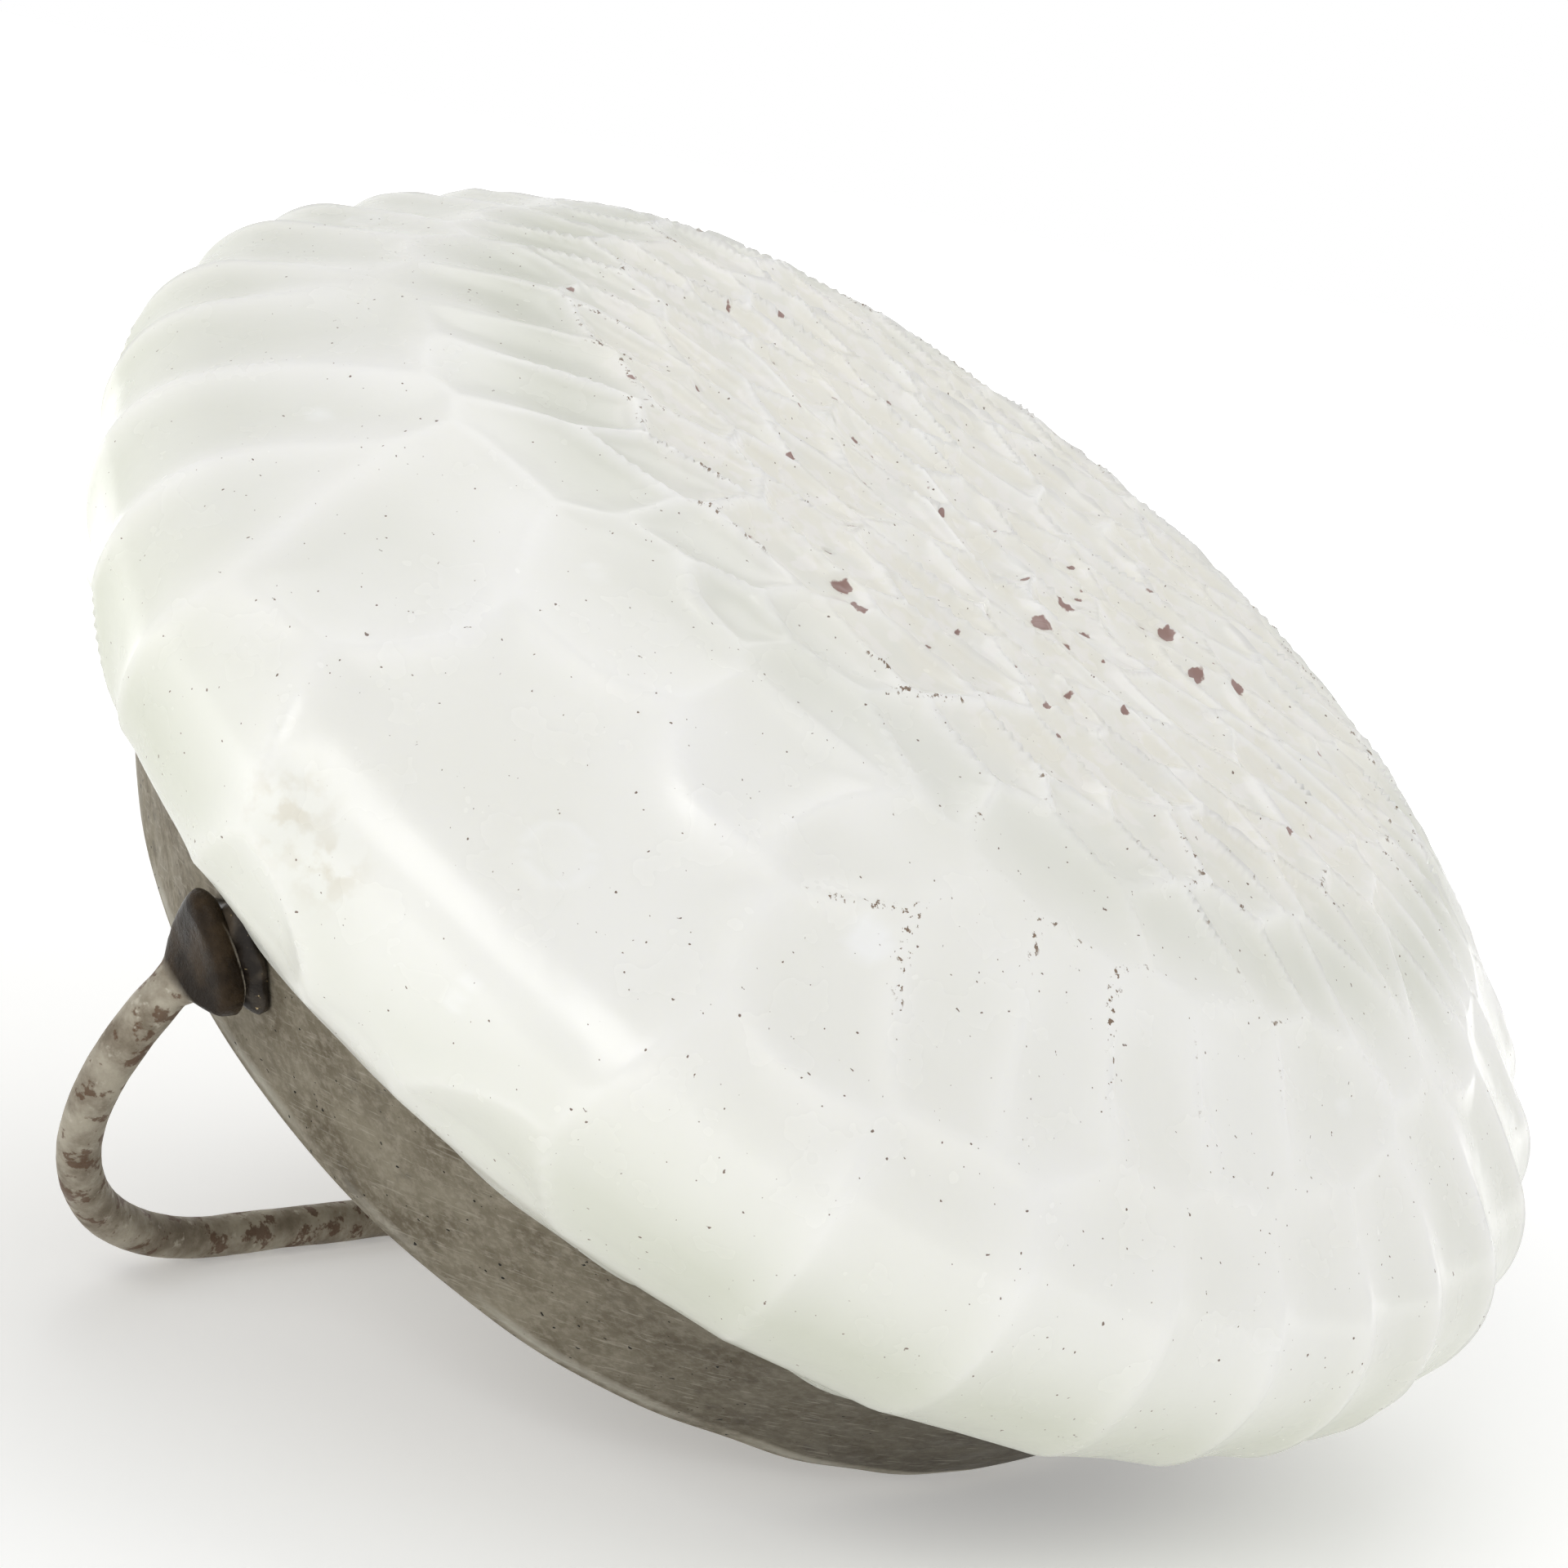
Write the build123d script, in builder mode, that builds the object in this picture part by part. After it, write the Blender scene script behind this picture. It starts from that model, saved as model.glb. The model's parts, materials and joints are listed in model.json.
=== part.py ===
from build123d import *
from math import acos, asin, atan2, cos, hypot, pi, radians, sin, tan
import os

# A sew-on button: a pressed opal-glass crown on a shallow tapered metal dish, with a wide wire bail
# whose flattened feet are soldered to the outside of the dish. Millimetres, +Z up.
# The button lies as it does on a table, leaning on its bail and on the lower edge of its dish.
# The origin is on the table, under the middle of the bounding box, and the bail's bar runs along Y.

# ---- glass, measured along and around the button's own axis ----
glass_radius = 13.5         # widest radius
seam_radius = 11.66         # where the glass meets the rim of the dish
widest_height = 2.7         # height of the widest circle above the seam
crown_height = 8.4          # height of the top above the seam
rim_round = 2.05            # rounding between the crown and the side
table_height = 6.9          # where the flattened top crosses the axis, above the seam
table_tilt = 6.1            # how far it slopes, in degrees
table_turn = 121            # which way it slopes down, in degrees from the way the button leans
table_edge_round = 1.5      # rounding where the flattened top meets the crown

# ---- dish ----
dish_depth = 3.3            # from the seam down to the back
dish_back_radius = 10.05    # where the side wall, carried on, meets the back
dish_edge_round = 0.7       # outside rounding between the side wall and the back
sheet = 0.4                 # thickness of the metal

# ---- bail ----
wire_diameter = 0.7
bar_drop = 8.5              # from the seam down to the middle of the bar
bail_spread = 12.45         # from the axis to where the line of a splayed leg would meet the bar's
bail_corner = 5.0           # bend between a leg and the bar, at the middle of the wire
bail_knee = 1.5             # bend where a leg leaves the slope of the wall
foot_width = 1.7            # flattened end of the wire
foot_length = 2.6
foot_thickness = 0.7
foot_margin = 0.35          # from the seam to the top of a foot, along the wall
knee_share = 0.6            # how far down a foot its leg leaves the wall

# ---- solder ----
solder_gap = 0.1            # film between a foot or the wire and the wall
solder_spread = 0.25        # how far the solder reaches past a foot
solder_height = 0.45        # how far it stands off the wall
solder_taper = 20           # slope of its flanks, in degrees
solder_root = 0.2           # how far its blank reaches into the wall before it is trimmed

# ---- the slope of the dish's wall ----
wall_tilt = atan2(seam_radius - dish_back_radius, dish_depth)
rim_inner_radius = seam_radius - sheet / cos(wall_tilt)
floor_height = sheet - dish_depth
floor_radius = dish_back_radius + sheet * tan(wall_tilt) - sheet / cos(wall_tilt)
cavity_round = dish_edge_round - sheet

# ---- arcs of the glass: under the widest circle, over the rim, and across the crown ----
overhang = glass_radius - seam_radius
under_round = (overhang**2 + widest_height**2) / (2 * overhang)
under_center = (glass_radius - under_round, widest_height)
rim_center = (glass_radius - rim_round, widest_height)
rise = crown_height - widest_height
crown_radius = (glass_radius**2 + rise**2 - 2 * glass_radius * rim_round) / (2 * (rise - rim_round))
crown_center = (0, crown_height - crown_radius)
rim_turn = atan2(rim_center[1] - crown_center[1], rim_center[0])

# ---- how the button lies: the bar and the rounded edge of the dish both touch the table ----
edge_center = (
    dish_back_radius + dish_edge_round * (tan(wall_tilt) - 1 / cos(wall_tilt)),
    dish_edge_round - dish_depth,
)
edge_above_bar = edge_center[1] + bar_drop
lean = acos((dish_edge_round - wire_diameter / 2) / hypot(edge_center[0], edge_above_bar))
lean -= atan2(edge_center[0], edge_above_bar)
seam_height = wire_diameter / 2 + bar_drop * cos(lean)
front_reach = rim_center[0] * cos(lean) + widest_height * sin(lean) + rim_round
rear_reach = under_center[0] * cos(lean) - widest_height * sin(lean) + under_round
seam_offset = (rear_reach - front_reach) / 2

lean_forward = (cos(lean), 0, -sin(lean))
upright = (sin(lean), 0, cos(lean))
seat = Plane(origin=(seam_offset, 0, seam_height), x_dir=lean_forward, z_dir=upright)
half_section = Plane(origin=seat.origin, x_dir=seat.x_dir, z_dir=(0, -1, 0))
bail_plane = Plane(origin=seat.origin, x_dir=(0, 1, 0), z_dir=seat.x_dir)
button_axis = Axis(seat.origin, seat.z_dir)

# ---- the flattened top of the glass ----
table_slope = tan(radians(table_tilt))
table_normal = (table_slope * cos(radians(table_turn)), table_slope * sin(radians(table_turn)), 1)
table_plane = Plane(
    origin=seat.from_local_coords((0, 0, table_height)),
    z_dir=seat.from_local_coords(table_normal) - seat.origin,
)


def on_circle(center, radius, angle):
    return (center[0] + radius * cos(angle), center[1] + radius * sin(angle))


def off_wall(down, out):
    """A point this far down the slope of the dish's wall from the seam, and this far out from it."""
    return (
        seam_radius - down * sin(wall_tilt) + out * cos(wall_tilt),
        -down * cos(wall_tilt) - out * sin(wall_tilt),
    )


def mirrored(point):
    return (-point[0], point[1])


# ---- glass crown ----
seam_point = (seam_radius, 0)
under_middle = on_circle(under_center, under_round, -asin(widest_height / under_round) / 2)
widest_point = (glass_radius, widest_height)
rim_middle = on_circle(rim_center, rim_round, rim_turn / 2)
rim_end = on_circle(rim_center, rim_round, rim_turn)
crown_middle = on_circle(crown_center, crown_radius, (rim_turn + pi / 2) / 2)
crown_top = (0, crown_height)

with BuildPart() as glass_crown:
    with BuildSketch(half_section):
        with BuildLine():
            Line((0, 0), seam_point)
            ThreePointArc(seam_point, under_middle, widest_point)
            ThreePointArc(widest_point, rim_middle, rim_end)
            ThreePointArc(rim_end, crown_middle, crown_top)
            Line(crown_top, (0, 0))
        make_face()
    revolve(axis=button_axis)
    split(bisect_by=table_plane, keep=Keep.BOTTOM)
    table_face = glass_crown.faces().filter_by(GeomType.PLANE).sort_by(button_axis)[-1]
    fillet(table_face.edges(), table_edge_round)

# ---- metal dish: one sheet, with a flat back and a flaring wall ----
with BuildPart() as back_dish:
    with BuildSketch(half_section) as dish_profile:
        with BuildLine():
            Polyline(
                (0, -dish_depth),
                (dish_back_radius, -dish_depth),
                (seam_radius, 0),
                (rim_inner_radius, 0),
                (floor_radius, floor_height),
                (0, floor_height),
                close=True,
            )
        make_face()
        outer_corner = dish_profile.vertices().sort_by_distance((dish_back_radius, -dish_depth))[0]
        fillet(outer_corner, dish_edge_round)
        inner_corner = dish_profile.vertices().sort_by_distance((floor_radius, floor_height))[0]
        fillet(inner_corner, cavity_round)
    revolve(axis=button_axis)

# ---- cement that fills the dish and holds the glass ----
with BuildPart() as cement_bed:
    with BuildSketch(half_section) as bed_profile:
        with BuildLine():
            Polyline(
                (0, floor_height),
                (floor_radius, floor_height),
                (rim_inner_radius, 0),
                (0, 0),
                close=True,
            )
        make_face()
        bed_corner = bed_profile.vertices().sort_by_distance((floor_radius, floor_height))[0]
        fillet(bed_corner, cavity_round)
    revolve(axis=button_axis)

# ---- wire bail: one wire with both ends flattened into feet that lie along the wall ----
wire_out = solder_gap + wire_diameter / 2
wire_end = off_wall(foot_margin + foot_width / 2, wire_out)
knee = off_wall(foot_margin + foot_length * knee_share, wire_out)
corner = (bail_spread, -bar_drop)


def foot_plane(side):
    """The wall's plane under a foot: X across it, Y up the slope, Z outwards. Side is 1 or -1."""
    radius, height = off_wall(foot_margin + foot_width / 2, 0)
    center = bail_plane.from_local_coords((side * radius, height, 0))
    out = bail_plane.from_local_coords((side * cos(wall_tilt), -sin(wall_tilt), 0)) - bail_plane.origin
    return Plane(origin=center, x_dir=seat.x_dir * -side, z_dir=out)


def foot_outline(margin):
    """A rounded paddle: broad near the seam and as narrow as the wire at its lower end."""
    Circle(foot_width / 2 + margin)
    with Locations((0, -(foot_length - foot_width / 2 - wire_diameter / 2))):
        Circle(wire_diameter / 2 + margin)
    make_hull()


with BuildPart() as shank_bail:
    with BuildLine(bail_plane) as bail_path:
        FilletPolyline(
            wire_end,
            knee,
            corner,
            mirrored(corner),
            mirrored(knee),
            mirrored(wire_end),
            radius=[bail_knee, bail_corner, bail_corner, bail_knee],
        )
    with BuildSketch(Plane(origin=bail_path.line @ 0, z_dir=bail_path.line % 0)):
        Circle(wire_diameter / 2)
    sweep(path=bail_path.line)
    for side in (-1, 1):
        with BuildSketch(foot_plane(side).offset(solder_gap)):
            foot_outline(0)
        extrude(amount=foot_thickness)


def solder_joint(side):
    """Solder under and around one foot, trimmed to the wall and to the wire."""
    with BuildPart() as joint:
        with BuildSketch(foot_plane(side).offset(-solder_root)):
            foot_outline(solder_spread)
        extrude(amount=solder_root + solder_height, taper=solder_taper)
        add(back_dish.part, mode=Mode.SUBTRACT)
        add(shank_bail.part, mode=Mode.SUBTRACT)
    return joint


front_solder_joint = solder_joint(-1)
rear_solder_joint = solder_joint(1)

# ---- output ----
os.makedirs("parts", exist_ok=True)
nodes = {
    "glass_crown": glass_crown,
    "back_dish": back_dish,
    "cement_bed": cement_bed,
    "shank_bail": shank_bail,
    "front_solder_joint": front_solder_joint,
    "rear_solder_joint": rear_solder_joint,
}
for name, node in nodes.items():
    node.part.label = name
    export_step(node.part, f"parts/{name}.step")
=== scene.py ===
import json
import math

import bmesh
import bpy
import numpy as np
from mathutils import Matrix, Quaternion, Vector


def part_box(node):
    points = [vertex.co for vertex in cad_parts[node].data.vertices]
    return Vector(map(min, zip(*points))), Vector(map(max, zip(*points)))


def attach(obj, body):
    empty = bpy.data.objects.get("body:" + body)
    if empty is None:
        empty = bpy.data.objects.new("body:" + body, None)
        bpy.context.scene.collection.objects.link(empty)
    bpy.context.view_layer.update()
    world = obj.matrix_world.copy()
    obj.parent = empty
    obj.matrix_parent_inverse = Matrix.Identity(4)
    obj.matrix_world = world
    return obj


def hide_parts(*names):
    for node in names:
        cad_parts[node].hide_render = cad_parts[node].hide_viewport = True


# A hammered opal-glass button on a tarnished metal dish, with a wire bail soldered to its wall.
# Shapes are worked out in millimetres in the button's own frame, whose origin is the middle of the
# seam between glass and dish: X leans forward, Y runs along the bail's bar, Z is the button's axis.
# Each mesh is then scaled to metres and seated by the seat matrix.

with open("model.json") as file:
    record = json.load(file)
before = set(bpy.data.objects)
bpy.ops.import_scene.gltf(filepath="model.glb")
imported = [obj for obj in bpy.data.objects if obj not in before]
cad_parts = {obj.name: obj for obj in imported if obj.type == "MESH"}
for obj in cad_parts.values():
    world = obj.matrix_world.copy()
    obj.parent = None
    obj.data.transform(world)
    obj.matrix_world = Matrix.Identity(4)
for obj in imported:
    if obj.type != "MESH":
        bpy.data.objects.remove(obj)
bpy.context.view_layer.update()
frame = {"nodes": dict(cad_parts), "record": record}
MM = 0.001

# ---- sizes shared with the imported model, in millimetres ----
GLASS_LOW, GLASS_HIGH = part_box("glass_crown")
GLASS_RADIUS = (GLASS_HIGH.y - GLASS_LOW.y) / 2 / MM
SEAM_RADIUS = 11.66
WIDEST_HEIGHT = 2.7
CROWN_HEIGHT = 8.4
RIM_ROUND = 2.05
DISH_DEPTH = 3.3
BACK_RADIUS = 10.05
EDGE_ROUND = 0.7
SHEET = 0.4
WIRE_RADIUS = 0.35
BAR_DROP = 8.5
BAIL_SPREAD = 12.45
BAIL_CORNER = 5.0
BAIL_KNEE = 1.5
FOOT_HALF_WIDTH = 0.85
FOOT_HALF_THICKNESS = 0.24
FOOT_START = 0.14
FOOT_END = 1.72
FOOT_TO_KNEE = 1.35         # down the wall, from the foot's tip to the wire's bend
KNEE_LIFT = 0.06            # how much further the bend stands off the wall than the tip
FOOT_SHIFT = 0.34           # the paddles bulge to one side of the wire
FOOT_MARGIN = 0.35
SOLDER_GAP = 0.1
SOLDER_HALF_WIDTH = 0.86
SOLDER_HALF_LENGTH = 0.82
SOLDER_DOWN = 0.62          # from the foot's margin to the middle of the mound
SOLDER_HEIGHT = 0.26
RIM_HEIGHT = -0.02          # the dish's rim, just under the seam
AXIS_START = 0.4            # the dish's section starts this far from the axis

# ---- the glass's flattened table, and the hammered cells ----
TABLE_HEIGHT = 6.9
TABLE_SLOPE = 0.107
TABLE_BLEND = 0.22
NEAR_ANGLE = -59.1          # degrees from X to the side that features are measured from
CELL_DEPTH = 0.12           # depth of a cell's hollow, for a cell one millimetre in size
RIDGE_WIDTH = 0.09
RIDGE_HEIGHT = 0.06
PETALS_START, PETALS_END = 72, 318      # degrees: where the listed cells stop and start again
PETAL_STEP = 9.5            # degrees from one petal to the next, for a petal of the usual size
PETAL_SIZE = 2.2
PETAL_STRETCH = 2.8
TABLE_CELL_SIZE = 1.35
TABLE_CELL_STRETCH = 1.9
TABLE_CELL_SPACING = 0.95
TABLE_CELLS_START = -0.75   # small cells start where the dome is this far below the table's plane

# ---- points around each turned or drawn form ----
GLASS_COLUMNS = 570
DISH_COLUMNS = 420
WIRE_COLUMNS = 44

# ---- slopes and arcs that follow from the sizes ----
WALL_TILT = math.atan2(SEAM_RADIUS - BACK_RADIUS, DISH_DEPTH)
OVERHANG = GLASS_RADIUS - SEAM_RADIUS
UNDER_ROUND = (OVERHANG**2 + WIDEST_HEIGHT**2) / (2 * OVERHANG)
CROWN_RISE = CROWN_HEIGHT - WIDEST_HEIGHT
CROWN_RADIUS = GLASS_RADIUS**2 + CROWN_RISE**2 - 2 * GLASS_RADIUS * RIM_ROUND
CROWN_RADIUS /= 2 * (CROWN_RISE - RIM_ROUND)
CROWN_CENTER = CROWN_HEIGHT - CROWN_RADIUS
RIM_TURN = math.atan2(WIDEST_HEIGHT - CROWN_CENTER, GLASS_RADIUS - RIM_ROUND)
RIM_TOP = WIDEST_HEIGHT + RIM_ROUND * math.sin(RIM_TURN)


def seat_matrix():
    """Where the button's own frame lies: on the seam's centre, turned with the button's lean."""
    mounts = {m["name"]: m for m in frame["record"]["mounts"]}
    upright = -Vector(mounts["back_face"]["axis"]).normalized()
    along_bar = Vector(mounts["shank_bar"]["axis"]).normalized()
    matrix = Matrix((along_bar.cross(upright), along_bar, upright)).transposed().to_4x4()
    matrix.translation = Vector(mounts["back_face"]["pos_m"]) + upright * DISH_DEPTH * MM
    return matrix


SEAT = seat_matrix()


# ---------------------------------------------------------------- small helpers
def toward(angle):
    """Unit vector across the axis, this many degrees on from the near side."""
    turn = math.radians(NEAR_ANGLE + angle)
    return np.array([math.cos(turn), math.sin(turn)])


def wobble(points, size, seed, waves=9):
    """Smooth noise from -1 to 1 or so, with features of about this size."""
    random = np.random.default_rng(seed)
    total = np.zeros(points.shape[:-1])
    for _ in range(waves):
        direction = random.normal(size=points.shape[-1])
        direction *= random.uniform(0.7, 1.5) * math.pi / (size * np.linalg.norm(direction))
        total += np.sin(points @ direction + random.uniform(0, 2 * math.pi))
    return total / math.sqrt(waves)


def fade(distance, radius):
    """1 at distance 0, falling smoothly to 0 at the radius."""
    t = np.clip(1 - distance / radius, 0, 1)
    return t * t * (3 - 2 * t)


def arc(center, radius, start, end, step):
    """Points and outward normals along an arc, its end left out."""
    count = max(2, math.ceil(abs(end - start) * radius / step))
    turns = np.linspace(start, end, count, endpoint=False)
    normals = np.stack([np.cos(turns), np.sin(turns)], axis=1)
    return np.array(center) + radius * normals, normals


def line(start, end, step):
    """Points and left-hand normals along a straight line, its end left out."""
    start, end = np.array(start, float), np.array(end, float)
    length = np.linalg.norm(end - start)
    count = max(1, math.ceil(length / step))
    shares = np.linspace(0, 1, count, endpoint=False)[:, None]
    along = (end - start) / length
    normals = np.repeat([[along[1], -along[0]]], count, axis=0)
    return start + shares * (end - start), normals


def turned(profile, columns):
    """A profile of (radius, height) points turned round the axis, as rings of points."""
    angles = np.linspace(0, 2 * math.pi, columns, endpoint=False)
    radius = profile[:, :1]
    height = np.repeat(profile[:, 1:], columns, axis=1)
    return np.stack([radius * np.cos(angles), radius * np.sin(angles), height], axis=2)


def ring_faces(rows, columns):
    """Quads between rings of points, and the triangles that close the two ends on single points."""
    row, column = np.meshgrid(np.arange(rows - 1), np.arange(columns), indexing="ij")
    after = (column + 1) % columns
    ring, next_ring = row * columns, (row + 1) * columns
    quads = np.stack([ring + column, ring + after, next_ring + after, next_ring + column], axis=2)
    quads = quads.reshape(-1, 4)
    first, last = rows * columns, rows * columns + 1
    edge = np.arange(columns)
    start = np.stack([np.full(columns, first), (edge + 1) % columns, edge], axis=1)
    top = (rows - 1) * columns
    end = np.stack([np.full(columns, last), top + edge, top + (edge + 1) % columns], axis=1)
    return quads, np.concatenate([start, end])


def ring_mesh(name, rings, attributes=None):
    """A closed smooth mesh from rings of points, with a point attribute for each array given."""
    rows, columns = rings.shape[:2]
    points = np.concatenate([rings.reshape(-1, 3), rings[0].mean(0)[None], rings[-1].mean(0)[None]])
    quads, triangles = ring_faces(rows, columns)
    mesh = bpy.data.meshes.new(name)
    mesh.vertices.add(len(points))
    mesh.vertices.foreach_set("co", (points * MM).astype(np.float32).ravel())
    corners = np.concatenate([quads.ravel(), triangles.ravel()])
    mesh.loops.add(len(corners))
    mesh.loops.foreach_set("vertex_index", corners.astype(np.int32))
    sizes = np.concatenate([np.full(len(quads), 4), np.full(len(triangles), 3)])
    mesh.polygons.add(len(sizes))
    mesh.polygons.foreach_set("loop_start", (np.cumsum(sizes) - sizes).astype(np.int32))
    mesh.update(calc_edges=True)
    mesh.validate()
    for label, values in (attributes or {}).items():
        field = mesh.attributes.new(label, "FLOAT", "POINT")
        ends = [values[0].mean(), values[-1].mean()]
        field.data.foreach_set("value", np.concatenate([values.ravel(), ends]).astype(np.float32))
    return finish_mesh(mesh)


def finish_mesh(mesh):
    """Turns the faces outwards and shades them smooth."""
    work = bmesh.new()
    work.from_mesh(mesh)
    bmesh.ops.recalc_face_normals(work, faces=work.faces)
    work.to_mesh(mesh)
    work.free()
    mesh.polygons.foreach_set("use_smooth", np.ones(len(mesh.polygons), bool))
    mesh.update()
    return mesh


def place(mesh, material, slot, *nodes):
    """Seats a piece, gives it its material, and hides the imported parts it stands in for."""
    mesh.transform(SEAT)
    piece = bpy.data.objects.new(mesh.name, mesh)
    bpy.context.scene.collection.objects.link(piece)
    piece.data.materials.append(material)
    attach(piece, "root")
    if nodes:
        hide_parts(*nodes)
    return piece


# ---------------------------------------------------------------- materials
class Surface:
    """A node material with a Principled shader, and short ways to add what feeds it."""

    def __init__(self, name, **constants):
        self.material = bpy.data.materials.new(name)
        self.material.use_nodes = True
        self.tree = self.material.node_tree
        self.shader = self.tree.nodes["Principled BSDF"]
        self.coordinates = self.add("ShaderNodeTexCoord").outputs["Object"]
        for socket, value in constants.items():
            self.shader.inputs[socket.replace("_", " ")].default_value = value

    def add(self, kind, **settings):
        node = self.tree.nodes.new(kind)
        for key, value in settings.items():
            setattr(node, key, value)
        return node

    def feed(self, socket, value):
        """Links an output to a socket, or sets the socket to a plain value."""
        if isinstance(value, bpy.types.NodeSocket):
            self.tree.links.new(value, socket)
        elif isinstance(value, tuple):
            socket.default_value = (*value, 1.0)
        else:
            socket.default_value = value

    def noise(self, size, detail=3.0, roughness=0.5, stretch=None):
        """Noise with features of this size in millimetres, stretched along the frame's axes."""
        node = self.add("ShaderNodeTexNoise")
        node.inputs["Scale"].default_value = 1 / (size * MM)
        node.inputs["Detail"].default_value = detail
        node.inputs["Roughness"].default_value = roughness
        source = self.coordinates
        if stretch:
            mapping = self.add("ShaderNodeMapping")
            mapping.inputs["Scale"].default_value = [1 / s for s in stretch]
            self.feed(mapping.inputs["Vector"], source)
            source = mapping.outputs["Vector"]
        self.feed(node.inputs["Vector"], source)
        return node.outputs["Fac"]

    def field(self, name):
        return self.add("ShaderNodeAttribute", attribute_name=name).outputs["Fac"]

    def math(self, operation, first, second=0.0):
        node = self.add("ShaderNodeMath", operation=operation, use_clamp=operation == "MULTIPLY")
        self.feed(node.inputs[0], first)
        self.feed(node.inputs[1], second)
        return node.outputs["Value"]

    def between(self, value, low, high):
        """0 below low and 1 above high, or the other way round if low is the larger."""
        node = self.add("ShaderNodeMapRange", interpolation_type="SMOOTHSTEP")
        backwards = low > high
        self.feed(node.inputs["Value"], value)
        node.inputs["From Min"].default_value = min(low, high)
        node.inputs["From Max"].default_value = max(low, high)
        node.inputs["To Min"].default_value = 1.0 if backwards else 0.0
        node.inputs["To Max"].default_value = 0.0 if backwards else 1.0
        return node.outputs["Result"]

    def blend(self, share, first, second):
        """A colour that goes from the first to the second with the share."""
        node = self.add("ShaderNodeMix", data_type="RGBA")
        self.feed(node.inputs["Factor"], share)
        self.feed(node.inputs[6], first)
        self.feed(node.inputs[7], second)
        return node.outputs[2]

    def tint(self, body, share, strength, color):
        """The body's colour, taken towards another one by this share at this strength."""
        return self.blend(self.math("MULTIPLY", share, strength), body, color)

    def bumps(self, height, depth, strength=1.0):
        """Fine relief of this depth in millimetres, on top of the mesh's own shape."""
        node = self.add("ShaderNodeBump")
        node.inputs["Distance"].default_value = depth * MM
        node.inputs["Strength"].default_value = strength
        self.feed(node.inputs["Height"], height)
        self.feed(self.shader.inputs["Normal"], node.outputs["Normal"])

    def color(self, value):
        self.feed(self.shader.inputs["Base Color"], value)

    def roughness(self, value):
        self.feed(self.shader.inputs["Roughness"], value)


def opal_glass():
    """Milky cream glass: painted green-grey shade, painted highlights on the ridges, specks, maroon
    pits and tan stains.
    """
    s = Surface("opal_glass", Subsurface_Weight=0.2, Subsurface_Scale=0.5 * MM, IOR=1.5)
    s.shader.inputs["Subsurface Radius"].default_value = (1.0, 1.0, 0.85)
    clouds = s.between(s.noise(3.2, 2.0), 0.35, 0.7)
    cream = s.blend(clouds, (0.945, 0.94, 0.91), (0.915, 0.91, 0.865))
    # painted shade: the glass goes green-grey under the shoulder, towards the lip, at its ends and
    # in its cells
    painted_shade = s.math("MULTIPLY", s.field("shade"), 0.85)
    body = s.blend(painted_shade, cream, (0.62, 0.64, 0.53))
    warm = s.math("MULTIPLY", s.field("table"), s.between(s.noise(1.1, 3.0), 0.2, 0.6))
    body = s.blend(warm, body, (0.89, 0.872, 0.79))
    mottle = s.math("MULTIPLY", s.between(s.noise(0.42, 2.0), 0.50, 0.60), s.field("table"))
    body = s.tint(body, mottle, 0.8, (0.93, 0.91, 0.87))
    ridge = s.field("ridge")
    # painted highlight: the ridge tops taken towards white, standing in for sheen
    body = s.tint(body, ridge, 0.7, (0.97, 0.965, 0.94))
    body = s.tint(body, s.field("bubble"), 0.9, (0.97, 0.975, 0.96))
    stain = s.math("MULTIPLY", s.field("stain"), s.between(s.noise(0.35, 4.0), 0.42, 0.62))
    body = s.tint(body, stain, 0.32, (0.50, 0.42, 0.26))
    specks = s.between(s.noise(0.12, 3.0, 0.65), 0.58, 0.62)
    specks = s.math("MULTIPLY", specks, s.between(s.field("chain"), 0.25, 0.5))
    body = s.blend(specks, body, (0.24, 0.17, 0.12))
    grime_and_painted_shade = s.between(s.noise(0.09, 1.0), 0.755, 0.79)
    body = s.blend(grime_and_painted_shade, body, (0.22, 0.16, 0.13))
    ragged = s.math("ADD", s.field("pit"), s.math("MULTIPLY", s.noise(0.2, 3.0), 0.9))
    pit = s.between(ragged, 0.71, 0.83)
    body = s.tint(body, pit, 0.85, (0.27, 0.12, 0.10))
    s.color(body)
    s.roughness(s.between(s.noise(1.1, 3.0), -0.9, 3.4))
    s.bumps(s.noise(0.5, 3.0), 0.02, 0.6)
    return s.material


def dish_metal():
    """Aged grey-brown metal: fine mottling, darker stains, a scratched wall and a painted highlight
    along its edge.
    """
    s = Surface("dish_metal", Metallic=0.55)
    tone = s.between(s.noise(1.5, 5.0, 0.65), 0.3, 0.72)
    body = s.blend(tone, (0.14, 0.115, 0.075), (0.28, 0.25, 0.185))
    grain = s.between(s.noise(0.16, 3.0, 0.7), 0.4, 0.7)
    body = s.tint(body, grain, 0.55, (0.37, 0.335, 0.265))
    dark = s.between(s.noise(0.8, 4.0, 0.7), 0.58, 0.75)
    body = s.tint(body, dark, 0.6, (0.09, 0.076, 0.056))
    # painted shade: darker at the seam under the glass's lip and towards the dish's far end
    body = s.tint(body, s.field("grime_and_painted_shade"), 0.85, (0.03, 0.024, 0.018))
    scratch = s.between(s.noise(0.5, 1.0, 0.5, (1.0, 1.0, 0.07)), 0.66, 0.69)
    body = s.tint(body, scratch, 0.25, (0.55, 0.52, 0.44))
    # painted highlight: a light line along the dish's lower edge
    body = s.tint(body, s.field("painted_edge_highlight"), 0.6, (0.62, 0.60, 0.53))
    pits = s.between(s.noise(0.12, 1.0), 0.735, 0.765)
    body = s.blend(pits, body, (0.012, 0.01, 0.008))
    s.color(body)
    s.roughness(s.between(s.noise(0.6, 4.0), -0.9, 1.3))
    s.bumps(s.noise(0.22, 5.0, 0.65), 0.03, 0.7)
    return s.material


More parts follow.
